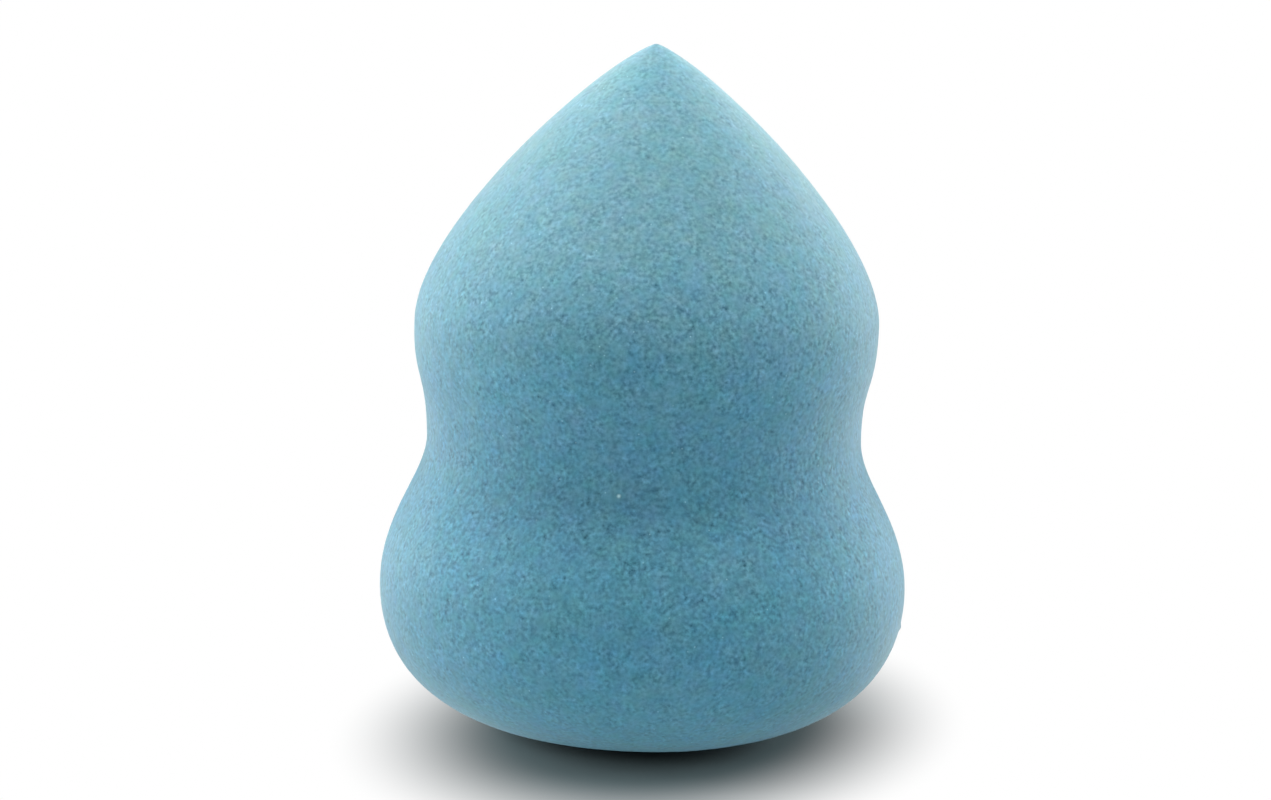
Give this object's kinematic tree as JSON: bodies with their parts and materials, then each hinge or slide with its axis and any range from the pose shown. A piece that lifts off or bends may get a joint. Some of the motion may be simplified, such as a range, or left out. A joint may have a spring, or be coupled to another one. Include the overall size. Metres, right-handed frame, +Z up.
{
  "type": "makeup sponge",
  "caption": "Gourd-shaped makeup sponge of fine soft foam, with a pointed tip, a soft waist and a rounded belly that stands on a small flat foot.",
  "frame": {"origin": "centre of the flat foot that the sponge stands on", "axes": "+Z up along the sponge's axis towards its tip; +X to the right and -Y towards the viewer in the picture"},
  "size_m": [0.0454, 0.0454, 0.06],
  "materials": {
    "foam": "matte"
  },
  "bodies": {
    "root": {"sponge_body": "foam"}
  },
  "joints": []
}
